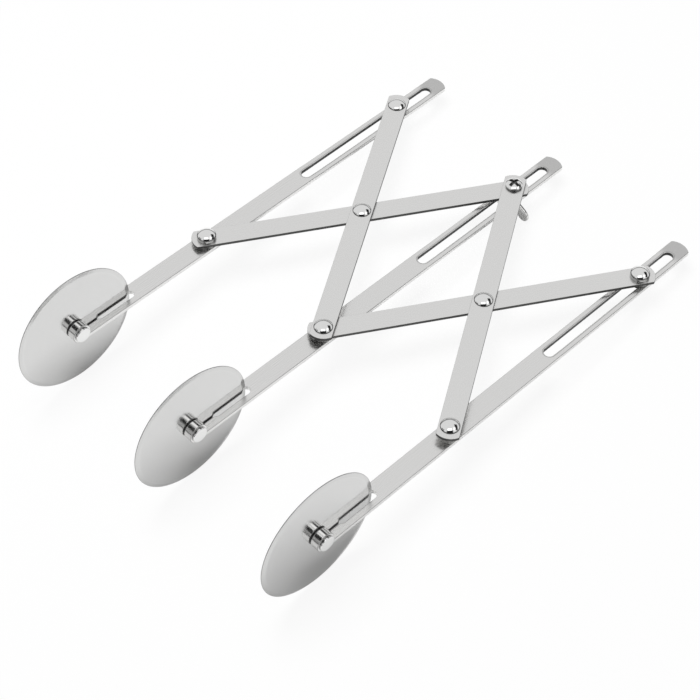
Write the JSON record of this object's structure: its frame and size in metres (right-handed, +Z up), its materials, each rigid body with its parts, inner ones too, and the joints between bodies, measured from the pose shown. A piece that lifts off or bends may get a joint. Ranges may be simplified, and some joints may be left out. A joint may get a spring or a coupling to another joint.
{
  "type": "expandable dough cutter",
  "caption": "Expanding pastry wheel cutter: slotted flat arms with disc cutters in forked ends, joined by crossed links that set the strip width, locked by a wing nut.",
  "frame": {"origin": "middle of the bounding box in X and Y, at floor level", "axes": "+X from the wheels to the handle ends, +Y across the arms to the left as seen from the wheel end, +Z up"},
  "size_m": [0.2542, 0.163, 0.06],
  "materials": {
    "bar": "satin",
    "disc": "turned",
    "hub": "turned",
    "rivet": "polished",
    "washer": "polished",
    "nut": "satin"
  },
  "bodies": {
    "arm_middle": {"arm_middle": "bar", "axle_middle": "rivet", "front_rivet_middle": "rivet", "front_washer_middle": "washer"},
    "link_left_upper": {"link_left_upper": "bar", "cross_rivet_left": "rivet", "slide_rivet_left": "rivet", "slide_spacer_left": "washer"},
    "link_left_lower": {"link_left_lower": "bar"},
    "link_right_lower": {"link_right_lower": "bar", "slide_rivet_right": "rivet", "slide_washer_right": "washer", "slide_collar_right": "washer"},
    "link_right_upper": {"link_right_upper": "bar", "cross_rivet_right": "rivet", "lock_screw": "rivet", "lock_spacer": "washer"},
    "arm_left": {"arm_left": "bar", "axle_left": "rivet", "front_rivet_left": "rivet", "front_washer_left": "washer", "front_collar_left": "washer"},
    "arm_right": {"arm_right": "bar", "axle_right": "rivet", "front_rivet_right": "rivet", "front_spacer_right": "washer"},
    "wheel_left": {"wheel_left": "disc", "hub_left": "hub"},
    "wheel_middle": {"wheel_middle": "disc", "hub_middle": "hub"},
    "wheel_right": {"wheel_right": "disc", "hub_right": "hub"},
    "lock_washer": {"lock_washer": "washer"},
    "wing_nut": {"wing_nut": "nut"}
  },
  "joints": [
    {"name": "expand", "type": "hinge", "parent": "arm_middle", "child": "link_left_upper", "pos_m": [-0.02219, 0, 0.02187], "axis": [0.0749, 0, 0.9972], "range_deg": [-22.7, 32.4]},
    {"name": "right_lower_swing", "type": "hinge", "parent": "arm_middle", "child": "link_right_lower", "pos_m": [-0.02219, 0, 0.02187], "axis": [0.0749, 0, 0.9972], "range_deg": [-32.5, 22.8]},
    {"name": "left_cross_turn", "type": "hinge", "parent": "link_left_upper", "child": "link_left_lower", "pos_m": [0.03761, 0.03735, 0.01737], "axis": [0.0749, 0, 0.9972], "range_deg": [-64.9, 45.5]},
    {"name": "right_cross_turn", "type": "hinge", "parent": "link_right_lower", "child": "link_right_upper", "pos_m": [0.03761, -0.03735, 0.01737], "axis": [0.0749, 0, 0.9972], "range_deg": [-45.5, 64.9]},
    {"name": "left_arm_swing", "type": "hinge", "parent": "link_left_lower", "child": "arm_left", "pos_m": [-0.02219, 0.0747, 0.02187], "axis": [0.0749, 0, 0.9972], "range_deg": [-22.8, 32.5]},
    {"name": "right_arm_swing", "type": "hinge", "parent": "link_right_upper", "child": "arm_right", "pos_m": [-0.02219, -0.0747, 0.02187], "axis": [0.0749, 0, 0.9972], "range_deg": [-32.5, 22.8]},
    {"name": "wheel_left_spin", "type": "hinge", "parent": "arm_left", "child": "wheel_left", "pos_m": [-0.09709, 0.0747, 0.03], "axis": [0, 1, 0], "continuous": true},
    {"name": "wheel_middle_spin", "type": "hinge", "parent": "arm_middle", "child": "wheel_middle", "pos_m": [-0.09709, 0, 0.03], "axis": [0, 1, 0], "continuous": true},
    {"name": "wheel_right_spin", "type": "hinge", "parent": "arm_right", "child": "wheel_right", "pos_m": [-0.09709, -0.0747, 0.03], "axis": [0, 1, 0], "continuous": true},
    {"name": "lock_release", "type": "slide", "parent": "link_right_upper", "child": "lock_washer", "axis": [-0.0749, 0, -0.9972], "range_m": [0, 0.0007]},
    {"name": "wing_turn", "type": "hinge", "parent": "lock_washer", "child": "wing_nut", "pos_m": [0.0972, 0, 0.01004], "axis": [-0.0749, 0, -0.9972], "range_deg": [-1, 361]}
  ],
  "couplings": [
    {"joint": "right_lower_swing", "follows": "expand", "ratio": -1},
    {"joint": "left_cross_turn", "follows": "expand", "ratio": -2},
    {"joint": "right_cross_turn", "follows": "expand", "ratio": 2},
    {"joint": "left_arm_swing", "follows": "expand", "ratio": 1},
    {"joint": "right_arm_swing", "follows": "expand", "ratio": -1},
    {"joint": "wing_turn", "follows": "lock_release", "rad_per_m": 8976}
  ]
}
